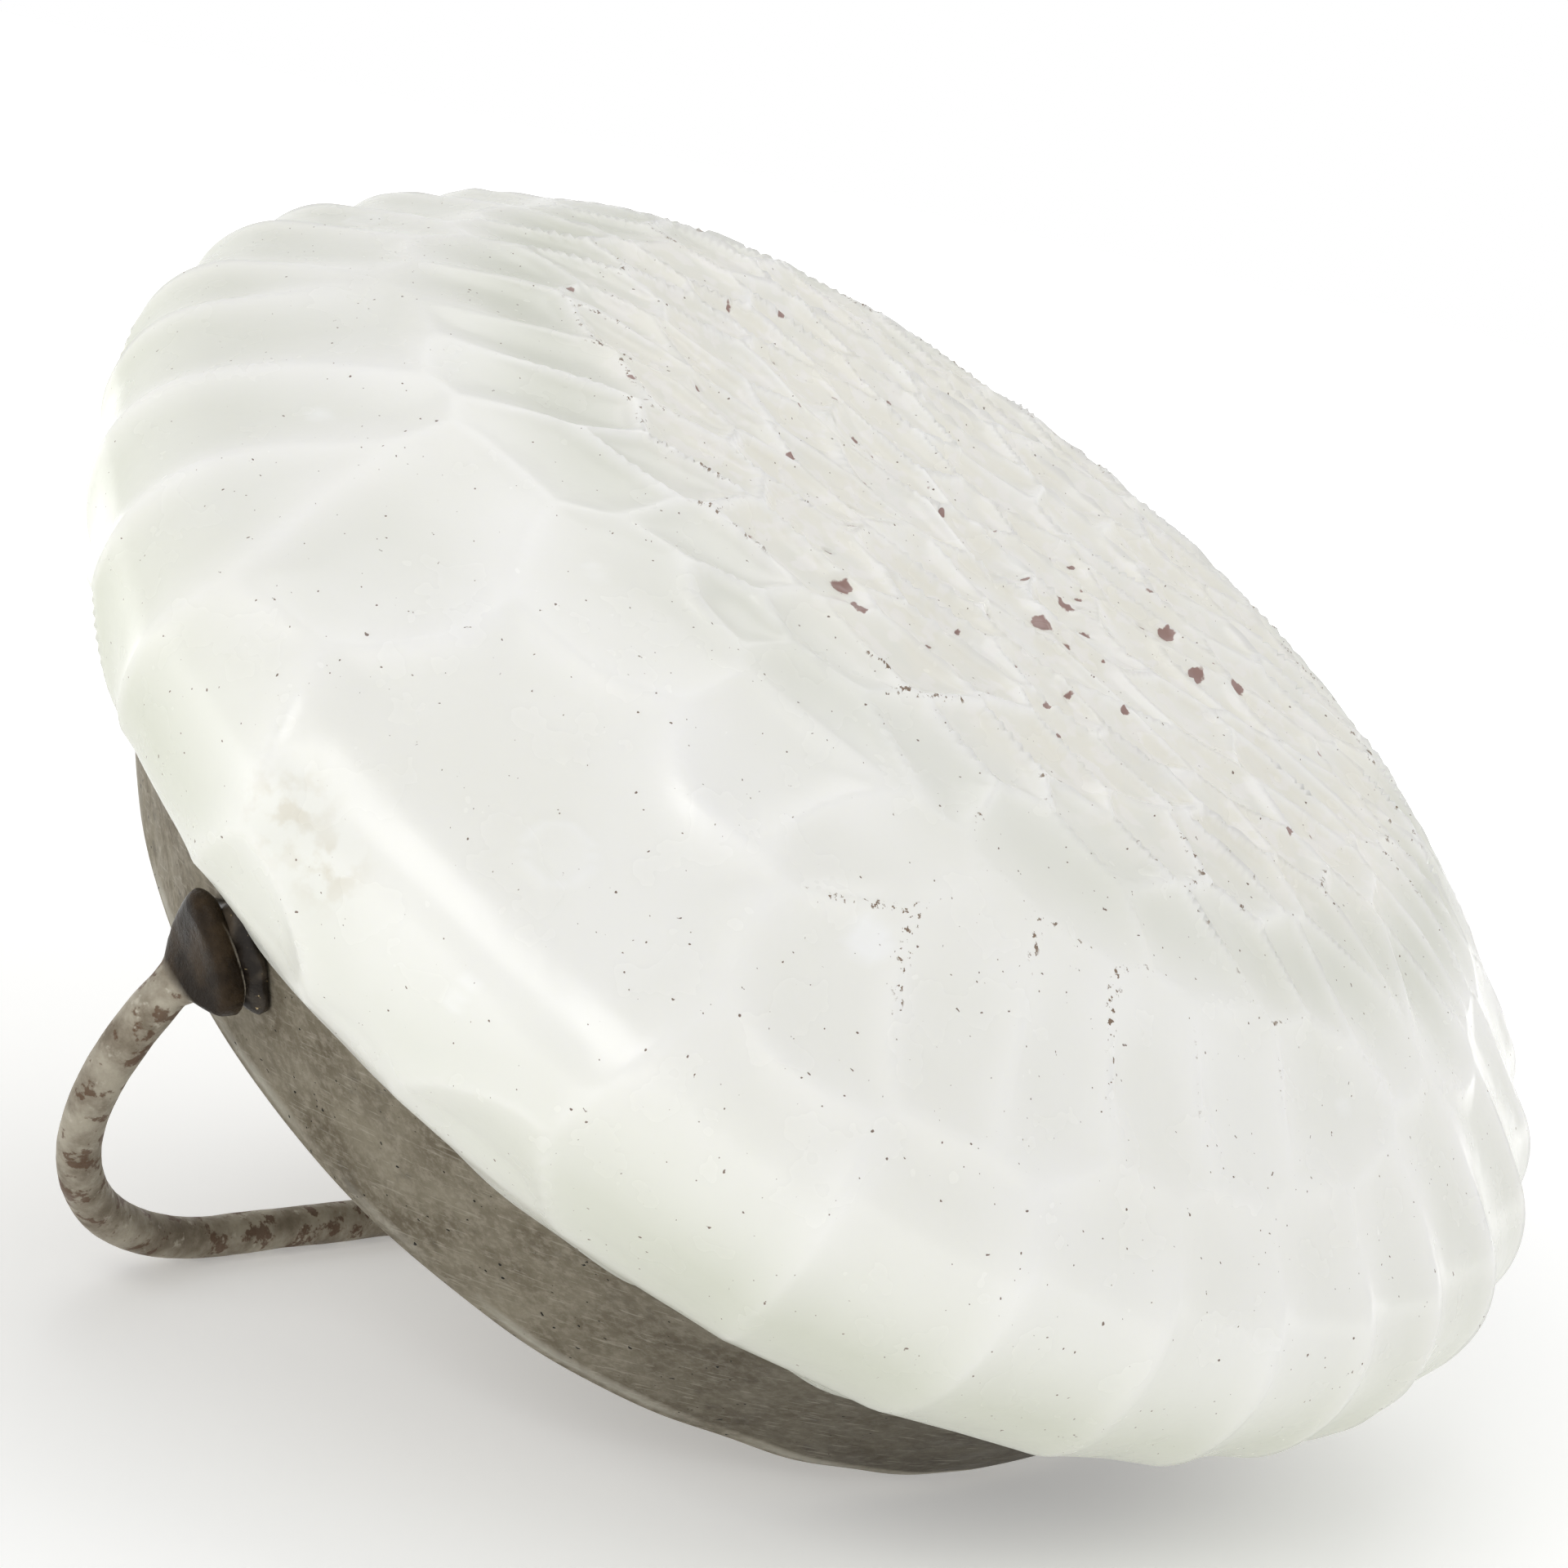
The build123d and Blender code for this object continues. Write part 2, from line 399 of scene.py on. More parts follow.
def wire_metal():
    """Grey wire, pitted, with rust-brown patches, going over to the dark feet."""
    s = Surface("wire_metal", Specular_IOR_Level=0.12)
    tone = s.between(s.noise(0.9, 5.0, 0.65), 0.32, 0.68)
    body = s.blend(tone, (0.20, 0.165, 0.12), (0.46, 0.42, 0.34))
    rust = s.between(s.noise(0.38, 5.0, 0.62), 0.54, 0.60)
    body = s.tint(body, rust, 0.8, (0.12, 0.065, 0.038))
    pale = s.between(s.noise(0.25, 3.0, 0.6), 0.6, 0.72)
    body = s.tint(body, pale, 0.6, (0.62, 0.58, 0.49))
    foot = s.field("foot")
    glaze = s.between(s.noise(0.7, 3.0), 0.4, 0.65)
    enamel = s.blend(glaze, (0.014, 0.009, 0.005), (0.042, 0.027, 0.014))
    body = s.blend(foot, body, enamel)
    glint = s.math("MULTIPLY", s.field("glint"), s.between(s.noise(0.12, 3.0, 0.6), 0.5, 0.62))
    body = s.blend(glint, body, (0.85, 0.66, 0.36))
    # painted highlight: a light line along the paddles' edges, broken up by noise
    highlight_strength = s.between(s.noise(0.2, 2.0), 0.3, 0.55)
    body = s.tint(body, s.field("painted_edge_highlight"), highlight_strength, (0.55, 0.50, 0.42))
    s.color(body)
    s.feed(s.shader.inputs["Metallic"], s.math("SUBTRACT", 0.5, s.math("MULTIPLY", foot, 0.45)))
    dull = s.between(s.noise(0.4, 4.0), -0.6, 1.4)
    s.roughness(s.math("SUBTRACT", dull, s.math("MULTIPLY", foot, 0.28)))
    s.bumps(s.noise(0.16, 5.0, 0.7), 0.035, 0.8)
    return s.material


def dark_solder():
    """Blackened solder with a soft gloss."""
    s = Surface("dark_solder", Specular_IOR_Level=0.2)
    tone = s.between(s.noise(0.45, 4.0), 0.35, 0.7)
    body = s.blend(tone, (0.016, 0.012, 0.009), (0.085, 0.068, 0.05))
    glint = s.between(s.noise(0.1, 3.0), 0.69, 0.74)
    body = s.blend(glint, body, (0.55, 0.42, 0.22))
    s.color(body)
    s.roughness(s.between(s.noise(0.3, 3.0), -0.4, 2.0))
    s.bumps(s.noise(0.12, 4.0, 0.6), 0.02, 0.8)
    return s.material


def old_cement():
    """Tan, slightly gritty cement."""
    s = Surface("old_cement", Roughness=0.9)
    s.color(s.blend(s.noise(0.8, 5.0), (0.42, 0.36, 0.26), (0.62, 0.56, 0.45)))
    s.bumps(s.noise(0.3, 4.0), 0.05)
    return s.material


# ---------------------------------------------------------------- glass
SIDE_CELLS = (              # degrees from the near side, height, size, stretch up the side
    (-14, 4.3, 7.0, 1.0), (7, 2.4, 3.6, 1.7), (-3, 0.9, 3.0, 1.2), (9, 5.3, 2.6, 1.0),
    (18, 5.6, 2.4, 1.0), (21, 2.6, 3.0, 1.8), (28, 5.7, 2.3, 1.0), (33, 2.7, 2.8, 1.9),
    (37, 5.8, 2.2, 1.0), (44, 2.8, 2.5, 2.1), (46, 5.9, 2.1, 1.0), (54, 3.0, 2.3, 2.3),
    (56, 6.0, 2.0, 1.0), (63, 3.2, 2.1, 2.5), (-24, 1.2, 2.8, 1.0), (-33, 2.4, 3.0, 1.4),
    (-37, 5.2, 2.8, 1.4), (-24, 6.6, 2.6, 1.0), (-6, 6.4, 2.6, 1.0), (3, 6.3, 2.0, 1.0),
)
BUBBLES = (                 # degrees, height, radius, height of its rim, whiteness
    (-12, 4.9, 0.46, 0.03, 0.12), (9, 5.85, 0.34, 0.005, 0.9), (-10, 3.2, 0.10, 0.01, 0.3),
    (-10, 2.8, 0.12, 0.01, 0.3), (61, 5.85, 0.10, 0.0, 0.7), (-31, 6.5, 0.12, 0.01, 0.3),
    (95, 4.6, 0.18, 0.01, 0.4), (150, 5.0, 0.22, 0.01, 0.4), (215, 3.6, 0.16, 0.01, 0.5),
    (265, 4.8, 0.26, 0.02, 0.2), (305, 5.2, 0.14, 0.01, 0.6),
)
STAINS = (                  # degrees, height, radius
    (-25, 3.0, 1.0), (-21, 2.85, 0.9), (120, 2.4, 1.2), (205, 3.4, 1.0), (285, 2.0, 0.9),
)
CHIPS = (                   # degrees round the lip, width
    (32, 0.5), (11, 0.3), (16, 0.35), (100, 0.4), (171, 0.5), (236, 0.3), (300, 0.4),
)
TABLE_PITS = (              # across, towards the near side, radius, as shares of the glass's radius
    (-0.13, 0.35, 0.014), (-0.10, 0.38, 0.012), (-0.06, -0.05, 0.012), (-0.04, -0.17, 0.010),
    (0.08, 0.0, 0.018), (0.09, -0.13, 0.017), (0.16, -0.07, 0.017), (0.22, -0.31, 0.013),
    (0.28, -0.25, 0.014), (0.33, -0.30, 0.012), (0.47, -0.30, 0.012), (-0.61, 0.04, 0.009),
    (-0.24, 0.39, 0.011),
)


def side_point(angle, height):
    """The point of the glass's side at this angle and height."""
    above = height - WIDEST_HEIGHT
    if height < WIDEST_HEIGHT:
        radius = GLASS_RADIUS - UNDER_ROUND + math.sqrt(UNDER_ROUND**2 - above**2)
    elif height < RIM_TOP:
        radius = GLASS_RADIUS - RIM_ROUND + math.sqrt(RIM_ROUND**2 - above**2)
    else:
        radius = math.sqrt(CROWN_RADIUS**2 - (height - CROWN_CENTER) ** 2)
    return np.array([*(radius * toward(angle)), height])


def table_height(across, near):
    """Height of the dome at this place, cut by the sloping table."""
    dome = CROWN_CENTER + np.sqrt(np.maximum(CROWN_RADIUS**2 - across**2 - near**2, 0))
    flat = TABLE_HEIGHT + TABLE_SLOPE * near
    low, high = np.minimum(dome, flat), np.maximum(dome, flat)
    return low - TABLE_BLEND * np.log1p(np.exp((low - high) / TABLE_BLEND)), dome - flat


def table_point(across, near):
    """The point of the glass's top over this place."""
    height, _ = table_height(np.array(across), np.array(near))
    return np.array([*(near * toward(0) + across * toward(90)), float(height)])


def up_the_side(angle):
    """The way up the glass's side at this angle."""
    return np.array([*(-0.35 * toward(angle)), 0.94])


def cell_seeds():
    """Centre, size, long way and stretch of each cell: petals up the side, small cells on top."""
    random = np.random.default_rng(14)
    seeds = [(*side_point(angle, height), size, *up_the_side(angle), stretch)
             for angle, height, size, stretch in SIDE_CELLS]
    angle = PETALS_START
    while angle < PETALS_END:
        size = random.uniform(1.9, 2.6)
        lift = random.uniform(3.2, 4.4)
        seeds.append((*side_point(angle, lift), size, *up_the_side(angle), PETAL_STRETCH))
        if random.uniform() < 0.35:
            low = side_point(angle + 5, random.uniform(0.6, 1.4))
            seeds.append((*low, 1.8, *up_the_side(angle), 1.2))
        angle += PETAL_STEP * size / PETAL_SIZE
    seeds += [(*point, TABLE_CELL_SIZE, *toward(90), 0.0, TABLE_CELL_STRETCH)
              for point in table_seeds(random)]
    return np.array(seeds)


def table_seeds(random):
    """Middles of the small cells scattered over the table and its shoulder, none too close."""
    chosen = []
    for _ in range(6000):
        across, near = random.uniform(-0.8, 0.8, 2) * GLASS_RADIUS
        _, over = table_height(np.array(across), np.array(near))
        if over < TABLE_CELLS_START:
            continue
        if all(math.hypot((across - a) / 1.7, near - n) > TABLE_CELL_SPACING for a, n in chosen):
            chosen.append((across, near))
    return [table_point(a, n) for a, n in chosen]


def cell_relief(points, crispness):
    """How deep each point lies in its cell, and how near it is to a ridge between two cells."""
    seeds = cell_seeds()
    warp = np.stack([wobble(points, 2.4, 31 + axis) for axis in range(3)], axis=-1)
    flat = (points + 0.14 * warp).reshape(-1, 3)
    depth, ridge = np.empty(len(flat)), np.empty(len(flat))
    at_once = 4096          # points worked out together, to keep the arrays small
    for start in range(0, len(flat), at_once):
        part = slice(start, start + at_once)
        apart = flat[part, None, :] - seeds[None, :, :3]
        along = (apart * seeds[None, :, 4:7]).sum(2) ** 2 * (1 - seeds[:, 7] ** -2)
        away = np.sqrt(np.maximum((apart**2).sum(2) - along, 0)) / seeds[:, 3]
        nearest = np.argmin(away, axis=1)
        first, second = np.partition(away, 1, axis=1)[:, :2].T
        size = seeds[nearest, 3]
        share = first / np.maximum(second, 1e-6)
        crisp = crispness.reshape(-1)[part]
        soft_hollow = (1 - share**2) ** 1.35
        crisp_hollow = 1 - share**2
        depth[part] = np.sqrt(size) * (soft_hollow + crisp * (crisp_hollow - soft_hollow))
        ridge[part] = np.exp(-(((second - first) * size / RIDGE_WIDTH) ** 2) / 2)
    return depth.reshape(points.shape[:2]), ridge.reshape(points.shape[:2])


def joined(runs):
    """The points and the normals of several runs of a section, as one section."""
    return np.concatenate([r[0] for r in runs]), np.concatenate([r[1] for r in runs])


def glass_profile():
    """The glass's half section: its underside from the middle, its lip, its side and its crown."""
    under_start = 0.07 - math.asin(WIDEST_HEIGHT / UNDER_ROUND)
    return joined([
        line((1.0, 0.0), (SEAM_RADIUS - 0.5, 0.0), 1.6),
        line((SEAM_RADIUS - 0.5, 0.0), (SEAM_RADIUS - 0.08, -0.04), 0.1),
        line((SEAM_RADIUS - 0.08, -0.04), (SEAM_RADIUS + 0.12, -0.02), 0.05),
        arc((GLASS_RADIUS - UNDER_ROUND, WIDEST_HEIGHT), UNDER_ROUND, under_start, 0.0, 0.115),
        arc((GLASS_RADIUS - RIM_ROUND, WIDEST_HEIGHT), RIM_ROUND, 0.0, RIM_TURN, 0.115),
        arc((0.0, CROWN_CENTER), CROWN_RADIUS, RIM_TURN, math.pi / 2 - 0.012, 0.125),
    ])


def step_up(value, width):
    """0 well below 0 and 1 well above it, going over within this width or so."""
    return 1 / (1 + np.exp(-value / width))


def glass_crown():
    """The glass: a turned form cut by the sloping table, with cells, pits, bubbles, tints, painted
    shade and painted highlights.
    """
    profile, normals = glass_profile()
    points, outward = turned(profile, GLASS_COLUMNS), turned(normals, GLASS_COLUMNS)
    across, near = points[..., :2] @ toward(90), points[..., :2] @ toward(0)
    around = np.degrees(np.arctan2(across, near))
    height, over = table_height(across, near)
    is_crown = (profile[:, 1] > RIM_TOP - 0.3)[:, None]
    cut = is_crown & (over > -1.2)
    points[..., 2] = np.where(cut, np.minimum(points[..., 2], height), points[..., 2])
    table = np.where(is_crown, step_up(over, 0.12), 0.0)
    crisp = np.where(is_crown, step_up(over + 0.65, 0.12), 0.0)
    outer = np.clip((points[..., 2] - 0.1) / 0.8, 0, 1)
    outer = np.maximum(outer * (profile[:, 0] > SEAM_RADIUS - 0.2)[:, None], is_crown)
    depth, ridge = cell_relief(points, crisp)
    chain = ridge * speck_places(points, around, over, is_crown)
    ridge *= 0.25 + 0.75 * crisp
    ridge *= np.clip(0.65 + 0.6 * wobble(points, 1.6, 51), 0, 1)
    relief = 0.10 * wobble(points, 6.5, 5) * outer
    relief += RIDGE_HEIGHT * ridge * outer - CELL_DEPTH * depth * outer * (1 + 0.35 * crisp)
    pit = pit_places(points)
    relief -= 0.06 * np.clip(2 * pit, 0, 1)
    bubble, rims = bubble_places(points)
    relief += rims
    # shade holds painted shade; ridge also sets a painted highlight on the ridge tops
    fields = {"ridge": ridge * outer, "chain": chain * outer, "table": table, "pit": pit,
              "bubble": bubble, "stain": stain_places(points),
              "shade": glass_shade(points, around, over, is_crown, depth, table, outer)}
    points = points + outward * relief[..., None]
    points[..., 2] -= lip_droop(profile, points)
    mesh = ring_mesh("glass_crown_surface", points, fields)
    return place(mesh, opal_glass(), "opal_glass", "glass_crown")


def speck_places(points, around, over, is_crown):
    """Where dirt has settled along the ridges: a patch on the near side, and along the shoulder."""
    patch = np.clip(1 - np.abs(around - 25) / 32, 0, 1)
    patch *= np.clip(1 - np.abs(points[..., 2] - 6.25) / 0.9, 0, 1)
    shoulder = 0.8 * np.exp(-((over / 0.3) ** 2)) * is_crown
    broken = np.clip(0.8 + wobble(points, 2.2, 61), 0, 1)
    return broken * np.clip(2.2 * patch**0.5 + shoulder, 0, 1)


def pit_places(points):
    """1 in the middle of each pit of the table, falling to 0 at its rim."""
    pit = np.zeros(points.shape[:2])
    for across, near, radius in scattered_pits():
        middle = table_point(across * GLASS_RADIUS, near * GLASS_RADIUS)
        away = np.linalg.norm(points - middle, axis=2)
        pit = np.maximum(pit, np.clip(1 - away / (1.3 * radius * GLASS_RADIUS), 0, 1))
    return pit


def bubble_places(points):
    """How white each point is with a bubble under it, and how far the bubble lifts it."""
    bubble, lift = np.zeros(points.shape[:2]), np.zeros(points.shape[:2])
    for angle, height, radius, rim, white in BUBBLES:
        away = np.linalg.norm(points - side_point(angle, height), axis=2)
        lift += rim * np.exp(-(((away - radius) / 0.07) ** 2)) + 0.4 * rim * fade(away, radius)
        bubble = np.maximum(bubble, white * np.clip((radius - away) / 0.08, 0, 1))
        bubble = np.maximum(bubble, 0.4 * np.exp(-(((away - radius) / 0.06) ** 2)))
    return bubble, lift


def stain_places(points):
    """1 in the middle of each tan stain, falling to 0 at its edge."""
    stain = np.zeros(points.shape[:2])
    for angle, height, radius in STAINS:
        away = np.linalg.norm(points - side_point(angle, height), axis=2)
        stain = np.maximum(stain, fade(away, radius))
    return stain


def glass_shade(points, around, over, is_crown, depth, table, outer):
    """Painted shade, green-grey: under the shoulder, towards the lip, at its ends and in its cells.
    """
    below = np.where(over < 0.05, np.exp(-(((over + 0.55) / 0.45) ** 2)), 0.0) * is_crown
    lip = np.clip(1.25 * fade(np.abs(points[..., 2]), 4.5), 0, 0.85)
    lip *= np.clip(0.4 + np.abs(around + 15) / 45, 0, 1)
    far_left = np.clip((-around - 50) / 25, 0, 1)
    ends = np.clip((np.abs(around - 12) - 38) / 30, 0, 1)
    hollows = (0.12 + 0.34 * ends) * np.clip(depth / 1.3, 0, 1) * (1 - table)
    hollows += 0.4 * table * fade(over, 1.6) * depth
    return np.clip(0.3 * below + lip + 0.12 * far_left + hollows * outer, 0, 1)


def scattered_pits():
    """The pits that stand out, and many small ones over the table."""
    random = np.random.default_rng(77)
    small = [(random.normal(0.12, 0.33), random.normal(-0.1, 0.3), random.uniform(0.003, 0.007))
             for _ in range(90)]
    return [*TABLE_PITS, *(p for p in small if math.hypot(p[0], p[1]) < 0.62)]


def lip_droop(profile, points):
    """How far the wavy lip of the glass hangs over the rim of the dish, with chips out of it."""
    radius, height = profile[:, :1], profile[:, 1:]
    near_lip = fade(np.abs(radius - SEAM_RADIUS - 0.05) + 2 * np.abs(height), 0.9)
    flat = points[..., :2]
    droop = 0.05 + 0.07 * wobble(flat, 2.6, 8) + 0.03 * wobble(flat, 0.9, 9)
    for angle, width in CHIPS:
        spot = SEAM_RADIUS * toward(angle)
        droop -= 0.14 * fade(np.linalg.norm(flat - spot, axis=2), width)
    return near_lip * droop


# ---------------------------------------------------------------- dish
def dish_profile():
    """The dish's half section, and how many of its points are on the outside, which comes first."""
    slant = 1 / math.cos(WALL_TILT)
    edge_middle = BACK_RADIUS - EDGE_ROUND * slant + EDGE_ROUND * math.tan(WALL_TILT)
    edge = arc((edge_middle, EDGE_ROUND - DISH_DEPTH), EDGE_ROUND, -math.pi / 2, -WALL_TILT, 0.08)
    rim, inner_rim = (SEAM_RADIUS, RIM_HEIGHT), (SEAM_RADIUS - SHEET * slant, RIM_HEIGHT)
    inner_corner = (BACK_RADIUS + SHEET * math.tan(WALL_TILT) - SHEET * slant, SHEET - DISH_DEPTH)
    outside = [
        line((AXIS_START, 0.03 - DISH_DEPTH), (BACK_RADIUS - 0.56, -DISH_DEPTH), 0.24),
        edge,
        line(edge[0][-1] + (0.03, 0.06), rim, 0.12),
    ]
    inside = [
        line(rim, inner_rim, 0.1),
        line(inner_rim, inner_corner, 0.5),
        line(inner_corner, (AXIS_START, SHEET - DISH_DEPTH), 1.5),
    ]
    return *joined(outside + inside), sum(len(r[0]) for r in outside)


def back_dish():
    """The dish: one thin dented shell, with a painted highlight along its lower edge and painted
    shade at the seam and at its far end.
    """
    profile, normals, outer_rows = dish_profile()
    points, outward = turned(profile, DISH_COLUMNS), turned(normals, DISH_COLUMNS)
    height = profile[:, 1:]
    outside = (np.arange(len(profile)) < outer_rows)[:, None]
    dents = 0.05 * wobble(points, 4.2, 3) + 0.02 * wobble(points, 1.3, 4) - 0.045
    points = points + outward * np.where(outside, dents, 0.0)[..., None]
    # painted highlight along the dish's lower edge, broken up by noise
    edge = fade(np.abs(height + DISH_DEPTH - 0.42), 0.16) * outside
    painted_edge_highlight = edge * np.clip(0.7 + 0.6 * wobble(points, 1.1, 12), 0, 1)
    # painted shade: dark at the seam under the glass's overhang and along the wall's far end
    seam = 0.8 * fade(np.abs(height), 0.35) * outside
    far_end = np.clip((points[..., :2] @ toward(60)) / SEAM_RADIUS - 0.55, 0, 0.45) * 2.0
    on_wall = (height > 0.5 - DISH_DEPTH) & outside
    fields = {"painted_edge_highlight": painted_edge_highlight, "grime_and_painted_shade": np.maximum(seam, far_end * on_wall)}
    mesh = ring_mesh("back_dish_shell", points, fields)
    return place(mesh, dish_metal(), "dish_metal", "back_dish")


# ---------------------------------------------------------------- bail, feet and solder
def off_wall(down, out):
    """The point this far down the dish's wall from the seam, and this far out from the wall."""
    return np.array([
        SEAM_RADIUS - down * math.sin(WALL_TILT) + out * math.cos(WALL_TILT),
        -down * math.cos(WALL_TILT) - out * math.sin(WALL_TILT),
    ])


def rounded_path(corners, radii, step):
    """Evenly spaced points along straight runs joined by arcs."""
    path = [np.array(corners[0], float)]
    for before, corner, after, radius in zip(corners, corners[1:], corners[2:], radii):
        back = (before - corner) / np.linalg.norm(before - corner)
        ahead = (after - corner) / np.linalg.norm(after - corner)
        half = math.acos(np.clip(back @ ahead, -1, 1)) / 2
        reach = radius / math.tan(half)
        center = corner + (back + ahead) / np.linalg.norm(back + ahead) * radius / math.sin(half)
        start, end = corner + back * reach - center, corner + ahead * reach - center
        turn = math.pi - 2 * half
        for share in np.linspace(0, 1, 24):
            swung = math.sin((1 - share) * turn) * start + math.sin(share * turn) * end
            path.append(center + swung / math.sin(turn))
    path.append(np.array(corners[-1], float))
    path = np.array(path)
    lengths = np.concatenate([[0], np.cumsum(np.linalg.norm(np.diff(path, axis=0), axis=1))])
    even = np.linspace(0, lengths[-1], math.ceil(lengths[-1] / step))
    return np.stack([np.interp(even, lengths, path[:, k]) for k in range(2)], axis=1), even


def foot_width(distance):
    """Half width of the wire this far from its end: a paddle with a narrow tip."""
    stations = (0.0, 0.05, 0.18, 0.40, 0.70, 1.05, 1.36, 1.57, 1.72, 2.0)
    widths = (0.14, 0.28, 0.46, 0.66, 0.82, 0.88, 0.82, 0.62, 0.44, WIRE_RADIUS)
    return np.interp(distance, stations, widths)


def foot_thickness(distance):
    """Half thickness of the wire this far from its end."""
    return np.interp(distance, (0.0, 0.06, 0.2, 1.7, 2.4),
                     (0.08, 0.16, FOOT_HALF_THICKNESS, FOOT_HALF_THICKNESS + 0.04, WIRE_RADIUS))


def bail_route():
    """The wire's line in the plane of the loop, and how far along the wire each point is."""
    off = SOLDER_GAP + FOOT_HALF_THICKNESS
    end, knee = off_wall(FOOT_START, off), off_wall(FOOT_START + FOOT_TO_KNEE, off + KNEE_LIFT)
    corner = np.array([BAIL_SPREAD, -BAR_DROP])
    flip = np.array([-1, 1])
    corners = [end * flip, knee * flip, corner * flip, corner, knee, end]
    return rounded_path(corners, [BAIL_KNEE, BAIL_CORNER, BAIL_CORNER, BAIL_KNEE], 0.11)


def squarer(wave, power):
    """A sine or cosine with its swing made squarer."""
    return np.sign(wave) * np.abs(wave) ** power


def wire_rings(path, from_end, turns):
    """Rings of points round the wire, how flat each is, and how near each point is to its edge."""
    along = np.gradient(path, axis=0)
    along /= np.linalg.norm(along, axis=1)[:, None]
    outward = np.stack([-along[:, 1], along[:, 0]], axis=1)[:, None, :]
    width, thick = foot_width(from_end)[:, None], foot_thickness(from_end)[:, None]
    flat = np.clip((width - WIRE_RADIUS) / (FOOT_HALF_WIDTH - WIRE_RADIUS), 0, 1)
    power = 1 - 0.62 * flat
    reach = squarer(np.cos(turns), power) * width
    lift = squarer(np.sin(turns), power) * thick
    lift -= 0.05 * flat * np.clip(np.sin(turns), 0, 1) ** 3 * (1 - (reach / FOOT_HALF_WIDTH) ** 2)
    plane = path[:, None, :] + outward * lift[..., None]
    points = np.stack([reach + FOOT_SHIFT * flat, plane[..., 0], plane[..., 1]], axis=2)
    rough = 0.012 * wobble(points, 1.3, 21) + 0.003 * wobble(points, 0.35, 22)
    middle = np.stack([np.zeros(len(path)), path[:, 0], path[:, 1]], axis=1)[:, None, :]
    points = middle + (points - middle) * (1 + rough / WIRE_RADIUS)[..., None] * 0.985
    return points, flat, np.abs(reach) / np.maximum(width, 0.1)


def shank_bail():
    """The bail: one wire from foot to foot, its feet dark, with a painted highlight along a paddle's
    edge and brass glints.
    """
    path, station = bail_route()
    from_end = np.minimum(station, station[-1] - station)
    turns = np.linspace(0, 2 * math.pi, WIRE_COLUMNS, endpoint=False)
    points, flat, to_edge = wire_rings(path, from_end, turns)
    foot = np.clip((FOOT_END - from_end) / 0.12, 0, 1)[:, None] * np.ones(len(turns))
    # painted highlight along the edge of each flattened paddle, on one face
    rim = flat * np.exp(-(((to_edge - 0.95) / 0.05) ** 2))
    painted_edge_highlight = rim * (np.sin(turns) > 0.3) * (np.cos(turns) > 0)
    glint = foot * fade(np.abs(from_end - 1.52), 0.3)[:, None]
    glint = glint * (np.sin(turns) > 0) * (np.cos(turns) < 0.2)
    mesh = ring_mesh("shank_bail_wire", points, {"foot": foot, "painted_edge_highlight": painted_edge_highlight, "glint": glint})
    return place(mesh, wire_metal(), "wire_metal", "shank_bail")


def solder_joint(name, node, side, seed):
    """A low mound of solder on the wall, round and under one foot."""
    reach = np.linspace(0.02, 1, 40)[:, None]
    turns = np.linspace(0, 2 * math.pi, 56, endpoint=False)[None, :]
    ragged = 1 + 0.07 * np.sin(3 * turns + seed) + 0.05 * np.sin(5 * turns + 2 * seed)
    taper = 1 - 0.22 * np.cos(turns)
    across = FOOT_SHIFT + 0.04 + reach * SOLDER_HALF_WIDTH * ragged * np.sin(turns) * taper
    down = FOOT_MARGIN + SOLDER_DOWN - reach * SOLDER_HALF_LENGTH * ragged * np.cos(turns)
    down = np.maximum(down, 0.05)
    mound = SOLDER_HEIGHT * np.clip(1 - reach**3, 0, 1) ** 0.75 + 0.03
    top = wall_points(across, down, mound + 0.02 * np.sin(9 * turns + 7 * reach), side)
    base = wall_points(across[::-1], down[::-1], np.full(across.shape, -0.06), side)
    points = np.concatenate([top, base])
    return place(ring_mesh(name, points), dark_solder(), "solder", node)


def wall_points(across, down, out, side):
    """Points across the dish's wall, down it and out from it, at one end of the bar."""
    radius = SEAM_RADIUS - down * math.sin(WALL_TILT)
    turn = across / radius
    distance = radius + out * math.cos(WALL_TILT)
    height = -down * math.cos(WALL_TILT) - out * math.sin(WALL_TILT)
    return np.stack([distance * np.sin(turn), side * distance * np.cos(turn), height], axis=2)


# ---------------------------------------------------------------- studio
CAMERA_AZIMUTH = 39.32      # degrees, 0 looks along +Y
CAMERA_ELEVATION = 9.95
CAMERA_ROLL = 12.33         # the camera leans to its left
CAMERA_LENS = 82.73
CAMERA_PLACE = (36.46, -45.96, 19.78)
BRIGHT_SIDE = (-0.63, 0.77, 0.0)    # where the sky is brighter


def camera():
    """The camera that took the photograph, as near as the outlines tell."""
    data = bpy.data.cameras.new("camera")
    data.lens = CAMERA_LENS
    data.sensor_width = 36.0
    data.clip_start = 0.001
    data.clip_end = 20.0
    item = bpy.data.objects.new("camera", data)
    bpy.context.scene.collection.objects.link(item)
    azimuth, elevation = math.radians(CAMERA_AZIMUTH), math.radians(CAMERA_ELEVATION)
    back = Vector((math.sin(azimuth) * math.cos(elevation), -math.cos(azimuth) * math.cos(elevation),
                   math.sin(elevation)))
    item.rotation_mode = "QUATERNION"
    level = (-back).to_track_quat("-Z", "Y")
    item.rotation_quaternion = level @ Quaternion((0, 0, 1), math.radians(CAMERA_ROLL))
    item.location = Vector(CAMERA_PLACE) * MM
    bpy.context.scene.camera = item


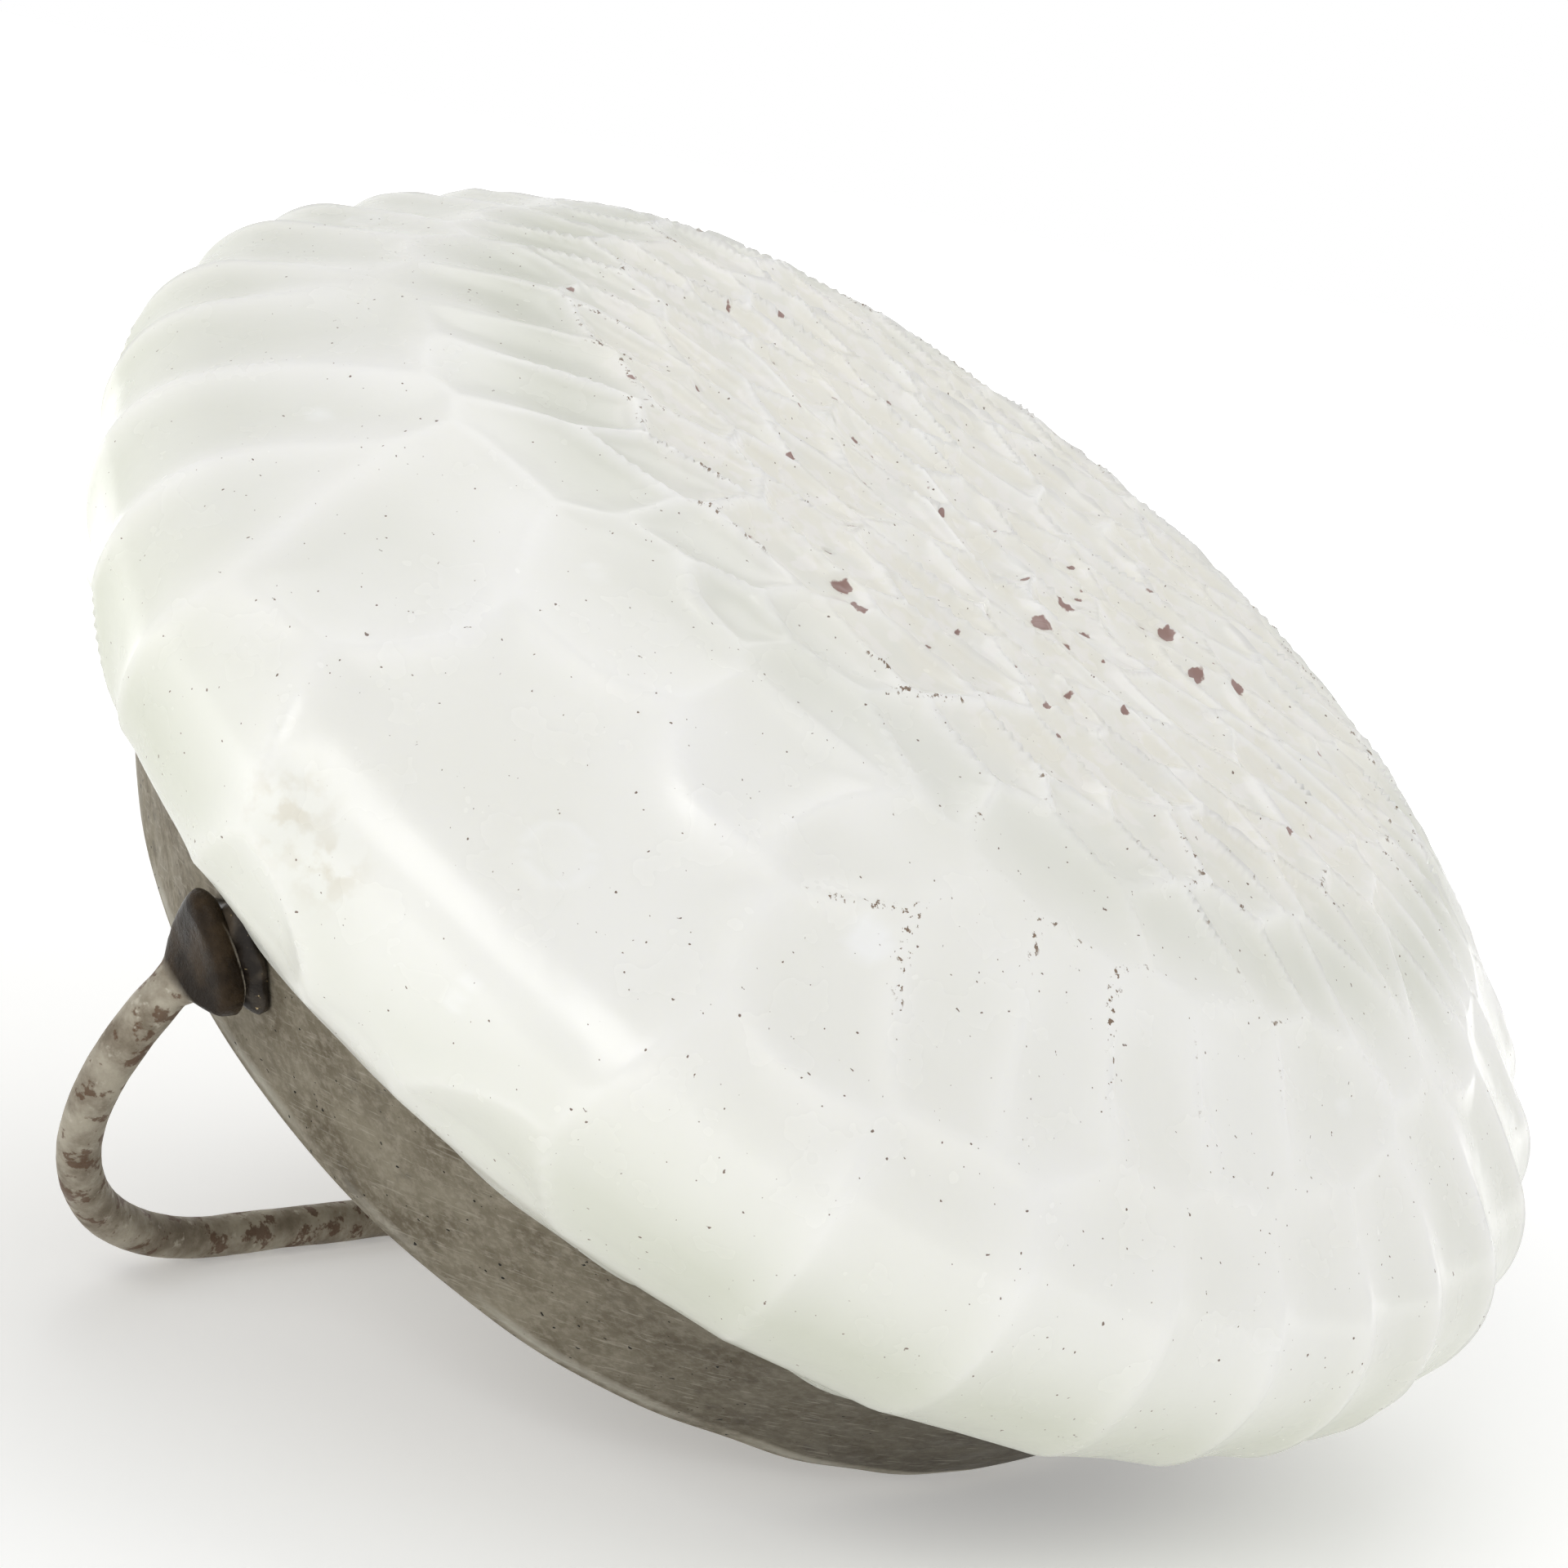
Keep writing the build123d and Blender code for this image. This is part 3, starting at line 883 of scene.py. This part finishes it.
def studio_floor():
    """A pale paper floor that goes over to plain white away from the button."""
    bpy.ops.mesh.primitive_circle_add(vertices=96, radius=1.6, fill_type="NGON", location=(0, 0, 0))
    floor = bpy.context.object
    floor.name = "studio_floor"
    s = Surface("studio_paper", Roughness=0.95, Specular_IOR_Level=0.1)
    distance = s.add("ShaderNodeVectorMath", operation="LENGTH")
    s.feed(distance.inputs[0], s.coordinates)
    s.color((0.88, 0.88, 0.87))
    glow = s.math("ADD", 0.27, s.between(distance.outputs["Value"], 0.015, 0.12))
    s.shader.inputs["Emission Color"].default_value = (1.0, 1.0, 1.0, 1.0)
    s.feed(s.shader.inputs["Emission Strength"], glow)
    floor.data.materials.append(s.material)


def sky_ramp(tree, value, start, end, first, last):
    """A strength that goes from the first to the last as the value goes from start to end."""
    node = tree.nodes.new("ShaderNodeMapRange")
    limits = {"From Min": start, "From Max": end, "To Min": first, "To Max": last}
    for socket, limit in limits.items():
        node.inputs[socket].default_value = limit
    tree.links.new(value, node.inputs["Value"])
    return node.outputs["Result"]


def studio_light():
    """A white sky, dimmer overhead and away from its bright side, and two soft lamps."""
    world = bpy.data.worlds.new("studio")
    bpy.context.scene.world = world
    world.use_nodes = True
    tree = world.node_tree
    background = tree.nodes["Background"]
    background.inputs["Color"].default_value = (1.0, 1.0, 1.0, 1.0)
    place_in_sky = tree.nodes.new("ShaderNodeTexCoord").outputs["Generated"]
    split = tree.nodes.new("ShaderNodeSeparateXYZ")
    tree.links.new(place_in_sky, split.inputs["Vector"])
    facing = tree.nodes.new("ShaderNodeVectorMath")
    facing.operation = "DOT_PRODUCT"
    facing.inputs[1].default_value = BRIGHT_SIDE
    tree.links.new(place_in_sky, facing.inputs[0])
    product = tree.nodes.new("ShaderNodeMath")
    product.operation = "MULTIPLY"
    overhead = sky_ramp(tree, split.outputs["Z"], 0.25, 0.6, 1.0, 0.75)
    sideways = sky_ramp(tree, facing.outputs["Value"], -0.5, 0.4, 0.5, 1.0)
    tree.links.new(overhead, product.inputs[0])
    tree.links.new(sideways, product.inputs[1])
    tree.links.new(product.outputs["Value"], background.inputs["Strength"])
    soft_light("key", (0.08, -0.30, 0.22), 0.18, 0.36)
    soft_light("top", (-0.06, 0.10, 0.34), 0.22, 0.16)


def soft_light(name, spot, size, power):
    """A square lamp that faces the button."""
    data = bpy.data.lights.new(name, "AREA")
    data.shape = "SQUARE"
    data.size = size
    data.energy = power
    lamp = bpy.data.objects.new(name, data)
    bpy.context.scene.collection.objects.link(lamp)
    lamp.location = spot
    lamp.rotation_mode = "QUATERNION"
    lamp.rotation_quaternion = (Vector((0, 0, 0.008)) - Vector(spot)).to_track_quat("-Z", "Y")


camera()
studio_floor()
studio_light()
bpy.context.scene.view_settings.view_transform = "Standard"

glass_crown()
back_dish()
shank_bail()
solder_joint("front_solder_mound", "front_solder_joint", -1, 1.3)
solder_joint("rear_solder_mound", "rear_solder_joint", 1, 4.1)
cement = frame["nodes"]["cement_bed"]
cement.data.materials.clear()
cement.data.materials.append(old_cement())
